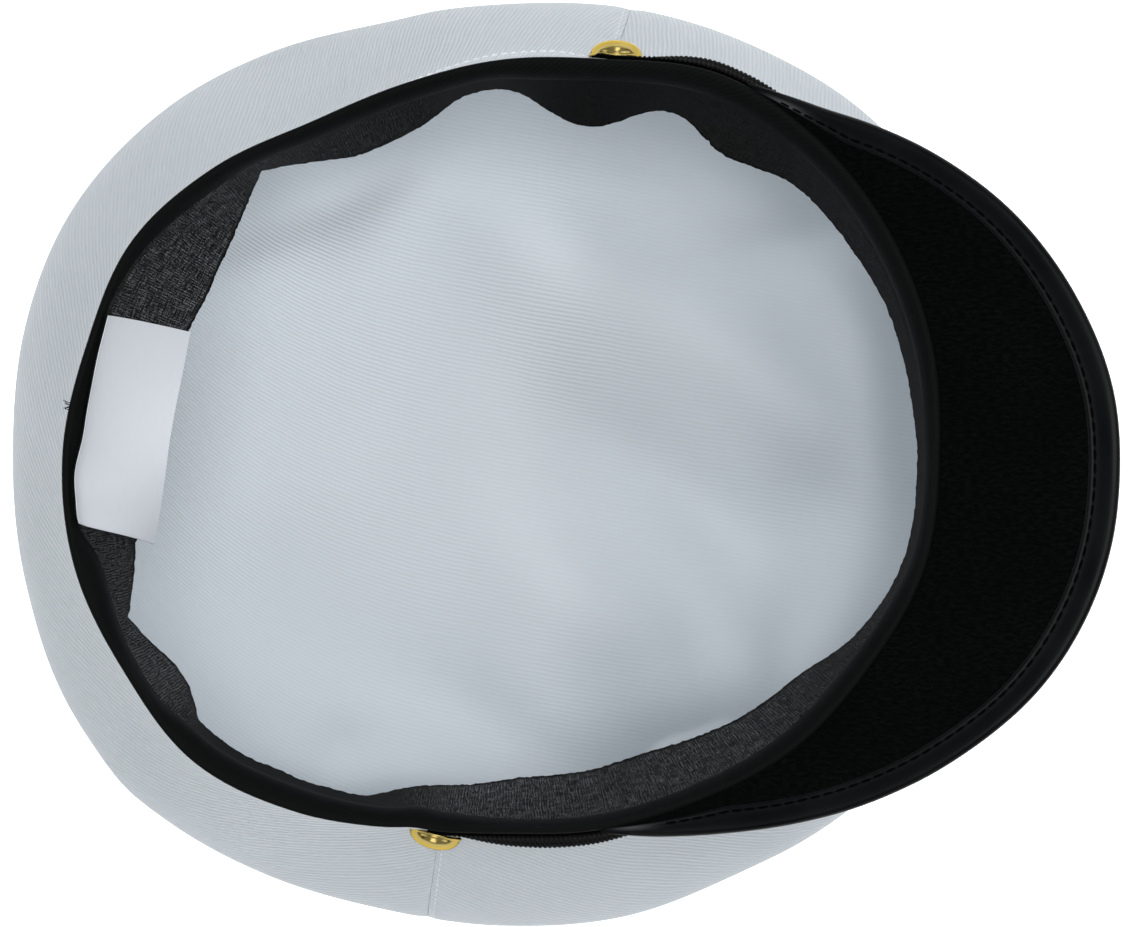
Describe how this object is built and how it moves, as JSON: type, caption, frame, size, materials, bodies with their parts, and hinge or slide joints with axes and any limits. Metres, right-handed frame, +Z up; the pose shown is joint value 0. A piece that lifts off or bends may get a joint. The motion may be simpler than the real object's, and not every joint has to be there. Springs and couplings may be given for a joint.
{
  "type": "captain hat",
  "caption": "Soft white captain's cap with a wide folded crown, black peak with a glossy edge, braid strap and gold dome buttons, resting on its crown with the head opening up.",
  "frame": {"origin": "on the floor, under the middle of the hat's box", "axes": "+X towards the peak, +Z up out of the head opening, +Y towards the left-hand button seen from above with the peak to the right"},
  "size_m": [0.2521, 0.2187, 0.1125],
  "materials": {
    "white_twill": "matte cotton twill",
    "black_tape": "matte ribbed tape",
    "black_open_weave": "thin open weave",
    "white_satin": "satin weave",
    "black_board": "matte coated board",
    "black_gloss_vinyl": "gloss vinyl",
    "black_braid": "braided cord",
    "gold": "polished gold plate"
  },
  "bodies": {
    "root": {"crown_top": "white_twill", "crown_side_front": "white_twill", "crown_side_back": "white_twill", "rim_tape": "black_tape", "sweatband": "black_open_weave", "label": "white_satin", "peak": "black_board", "peak_binding": "black_gloss_vinyl", "front_strap": "black_braid", "button_left": "gold", "button_right": "gold"}
  },
  "joints": []
}
